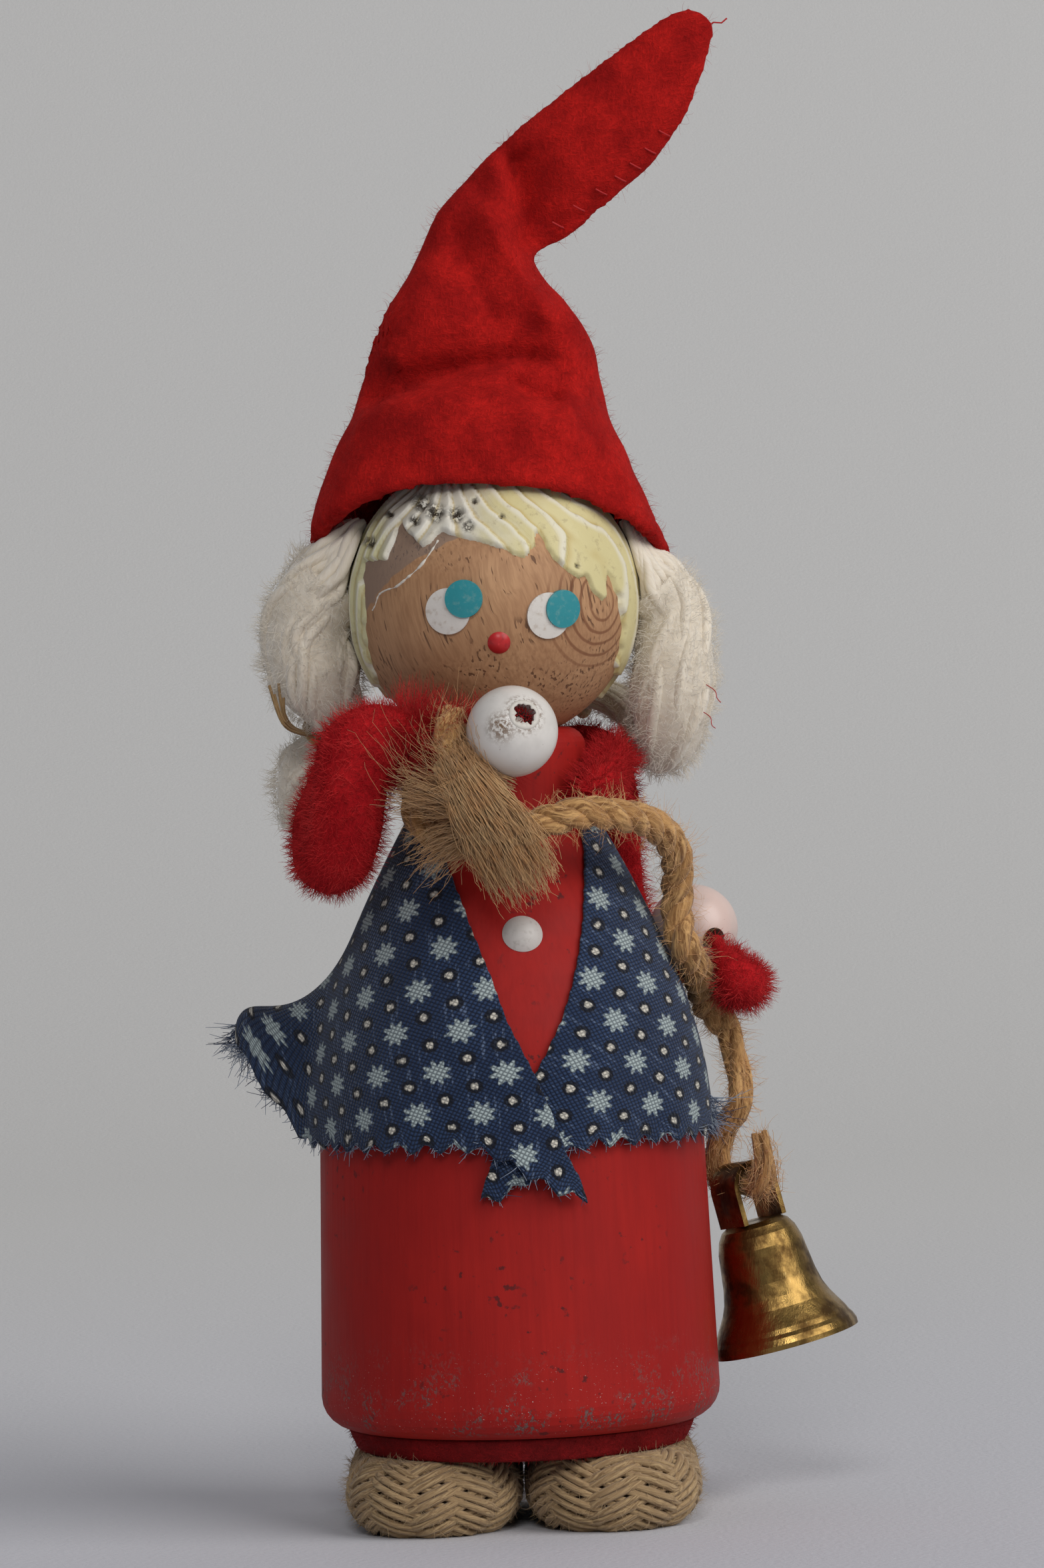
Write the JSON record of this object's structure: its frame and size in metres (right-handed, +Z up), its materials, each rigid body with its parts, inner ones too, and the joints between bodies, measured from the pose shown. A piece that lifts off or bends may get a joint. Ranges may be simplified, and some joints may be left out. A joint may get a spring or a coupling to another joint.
{
  "type": "peg doll",
  "caption": "Turned wooden peg doll with a ball head, bent felt hat, wool bunches, chenille arms, cotton shawl and a small brass bell on a jute rope.",
  "frame": {"origin": "on the floor under the axis of the turned body, between the two feet", "axes": "+Z up along the body's axis; the doll faces -Y; +X is its left side"},
  "size_m": [0.0675, 0.0475, 0.165],
  "materials": {
    "painted_wood_red": "matt red paint on turned wood, worn in specks near the foot",
    "bare_beech": "bare beech with short dark flecks",
    "hair_paint": "pale yellow paint over white, flaked",
    "white_paint": "satin white paint",
    "teal_paint": "satin teal paint",
    "red_paint": "satin red paint",
    "felt_red": "needled wool felt",
    "sole_felt": "worn red felt",
    "jute_braid": "braided jute cord",
    "jute_rope": "three-strand jute rope",
    "jute_twine": "thin jute twine",
    "chenille_red": "red chenille pile",
    "core_wire": "twisted steel wire",
    "bead_white": "white painted wooden bead, soiled",
    "wool_cream": "unspun cream wool",
    "cotton_print": "plain-woven blue cotton with pale stars and dots",
    "brass": "tarnished stamped brass"
  },
  "bodies": {
    "root": {"body": "painted_wood_red", "base_disc": "sole_felt", "foot_right": "jute_braid", "foot_left": "jute_braid", "neck_dowel": "bare_beech", "head": "bare_beech", "hair_paint": "hair_paint", "eye_whites": "white_paint", "eye_irises": "teal_paint", "nose_dot": "red_paint", "button_dot": "white_paint", "hat": "felt_red", "bunch_right": "wool_cream", "bunch_left": "wool_cream", "tie_right": "jute_twine", "tie_left": "jute_twine", "arm_wire": "core_wire", "arm_right": "chenille_red", "arm_left": "chenille_red", "hand_right": "bead_white", "hand_left": "bead_white", "shawl": "cotton_print", "rope_tail": "jute_rope", "rope_hitch": "jute_rope", "rope_span": "jute_rope"},
    "bell_rope": {"rope_drop": "jute_rope"},
    "bell": {"bell_shell": "brass", "bell_loop": "brass", "clapper_hook": "brass"},
    "clapper": {"clapper": "brass"}
  },
  "joints": [
    {"name": "bell_rope_swing", "type": "hinge", "parent": "root", "child": "bell_rope", "pos_m": [0.0242, 0.0096, 0.0529], "axis": [0, -1, 0], "range_deg": [0, 45], "deforming": ["rope_drop"]},
    {"name": "bell_swing", "type": "hinge", "parent": "bell_rope", "child": "bell", "pos_m": [0.0254, 0.008, 0.0355], "axis": [0.558, -0.8192, 0.1329], "range_deg": [0, 40]},
    {"name": "clapper_swing", "type": "hinge", "parent": "bell", "child": "clapper", "pos_m": [0.02717, 0.008, 0.02805], "axis": [0, -1, 0], "range_deg": [-11, 38]}
  ]
}
